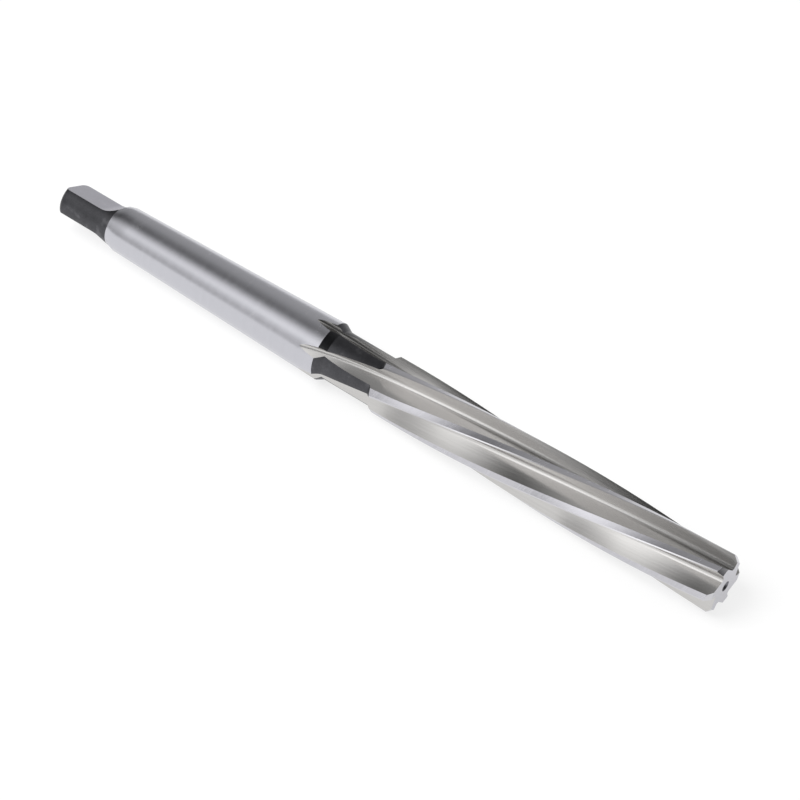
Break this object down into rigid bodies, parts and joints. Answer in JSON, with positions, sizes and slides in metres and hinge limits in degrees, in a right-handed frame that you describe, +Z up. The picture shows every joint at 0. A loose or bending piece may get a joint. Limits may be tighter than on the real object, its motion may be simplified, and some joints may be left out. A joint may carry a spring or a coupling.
{
  "type": "machine reamer",
  "caption": "Long machine reamer with a Morse taper shank, a flatted tang and left-hand helical flutes.",
  "frame": {"origin": "on the tool's axis, in the gauge plane of the No. 1 Morse taper", "axes": "+X along the tool towards its cutting end, +Z up with the tool lying down, +Y completes the right-handed frame"},
  "size_m": [0.156, 0.0122, 0.0122],
  "materials": {
    "tool_steel": "ground, satin; tang and neck left dark from hardening"
  },
  "bodies": {
    "root": {"reamer": "tool_steel"}
  },
  "joints": []
}
